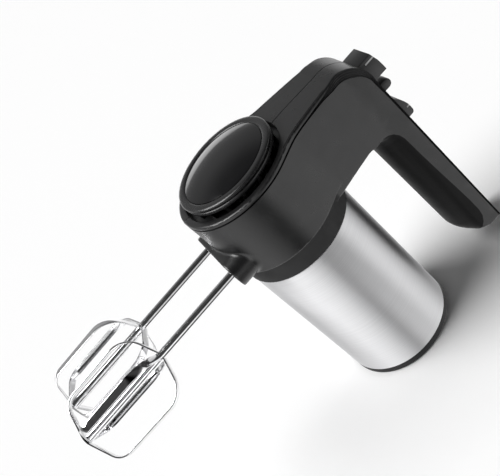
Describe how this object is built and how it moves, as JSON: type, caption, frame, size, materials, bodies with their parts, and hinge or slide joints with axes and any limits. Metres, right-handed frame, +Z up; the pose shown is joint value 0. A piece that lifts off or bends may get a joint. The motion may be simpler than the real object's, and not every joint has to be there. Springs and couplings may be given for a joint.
{
  "type": "hand mixer",
  "caption": "Hand mixer with an upright steel motor body, an arm with a hand-grip, finger controls and wire-strip beaters driven by worm gears.",
  "frame": {"origin": "centre of the base cap's underside, on which the mixer stands", "axes": "+Z up the motor axis; the beaters point along -Y; the hand-grip is on the +Y side; +X is on the right when looking along +Y"},
  "size_m": [0.0856, 0.2819, 0.1906],
  "materials": {
    "shell_black": "satin",
    "cap_black": "satin",
    "sleeve_steel": "brushed",
    "disc_satin": "satin",
    "lens_black": "gloss",
    "button_black": "satin",
    "beater_chrome": "polished",
    "machine_steel": "machined",
    "laminations": "matte",
    "copper": "enamelled wire",
    "bronze": "sintered",
    "brass_parts": "satin",
    "carbon": "matte",
    "frame_plastic": "matte",
    "gear_plastic": "satin",
    "board_green": "satin"
  },
  "bodies": {
    "housing": {"housing_left": "shell_black", "housing_right": "shell_black", "motor_sleeve": "sleeve_steel", "base_cap": "cap_black", "base_screws": "machine_steel", "housing_screws": "machine_steel", "disc_carrier": "disc_satin", "disc_lens": "lens_black", "lower_bracket": "frame_plastic", "lower_bearing": "bronze", "stator_core": "laminations", "field_coils": "copper", "motor_studs": "machine_steel", "brush_holders": "brass_parts", "carbon_brushes": "carbon", "brush_springs": "machine_steel", "gear_frame": "frame_plastic", "gear_cover": "frame_plastic", "gear_cover_screws": "machine_steel", "upper_bearing": "bronze", "spindle_bushes": "bronze", "speed_switch": "frame_plastic", "turbo_switch": "frame_plastic", "circuit_board": "board_green", "port_bush_left": "cap_black", "port_bush_right": "cap_black", "inlet_bush": "cap_black"},
    "armature": {"motor_shaft": "machine_steel", "armature_core": "laminations", "armature_winding": "copper", "commutator": "copper", "cooling_fan": "frame_plastic"},
    "drive_left": {"worm_gear_left": "gear_plastic", "spindle_left": "machine_steel", "spindle_clip_left": "machine_steel"},
    "drive_right": {"worm_gear_right": "gear_plastic", "spindle_right": "machine_steel", "spindle_clip_right": "machine_steel"},
    "beater_left": {"beater_shaft_left": "beater_chrome", "beater_outer_loop_left": "beater_chrome", "beater_inner_loop_left": "beater_chrome"},
    "beater_right": {"beater_shaft_right": "beater_chrome", "beater_outer_loop_right": "beater_chrome", "beater_inner_loop_right": "beater_chrome"},
    "ejector": {"eject_button": "button_black", "ejector_fork": "gear_plastic", "eject_spring": "machine_steel"},
    "speed_control": {"speed_knob": "button_black", "switch_slide": "gear_plastic"},
    "turbo": {"turbo_button": "button_black", "turbo_spring": "machine_steel"}
  },
  "joints": [
    {"name": "armature_spin", "type": "hinge", "parent": "housing", "child": "armature", "pos_m": [0, 0, 0.065], "axis": [0, 0, 1], "continuous": true},
    {"name": "drive_left_spin", "type": "hinge", "parent": "housing", "child": "drive_left", "pos_m": [-0.019, 0, 0.142], "axis": [0, 1, 0], "continuous": true},
    {"name": "drive_right_spin", "type": "hinge", "parent": "housing", "child": "drive_right", "pos_m": [0.019, 0, 0.142], "axis": [0, 1, 0], "continuous": true},
    {"name": "beater_left_release", "type": "slide", "parent": "drive_left", "child": "beater_left", "axis": [0, -1, 0], "range_m": [0, 0.056]},
    {"name": "beater_right_release", "type": "slide", "parent": "drive_right", "child": "beater_right", "axis": [0, -1, 0], "range_m": [0, 0.056]},
    {"name": "eject_press", "type": "slide", "parent": "housing", "child": "ejector", "axis": [0, -1, 0], "range_m": [0, 0.008], "stiffness_N_per_m": 400, "springref_m": -0.004, "deforming": ["eject_spring"]},
    {"name": "speed_slide", "type": "slide", "parent": "housing", "child": "speed_control", "axis": [0, 0, 1], "range_m": [-0.0022, 0.0044]},
    {"name": "turbo_press", "type": "slide", "parent": "housing", "child": "turbo", "axis": [0, -1, 0], "range_m": [0, 0.002], "stiffness_N_per_m": 600, "springref_m": -0.002, "deforming": ["turbo_spring"]}
  ],
  "couplings": [
    {"joint": "drive_left_spin", "follows": "armature_spin", "ratio": 0.083333},
    {"joint": "drive_right_spin", "follows": "armature_spin", "ratio": -0.083333}
  ]
}
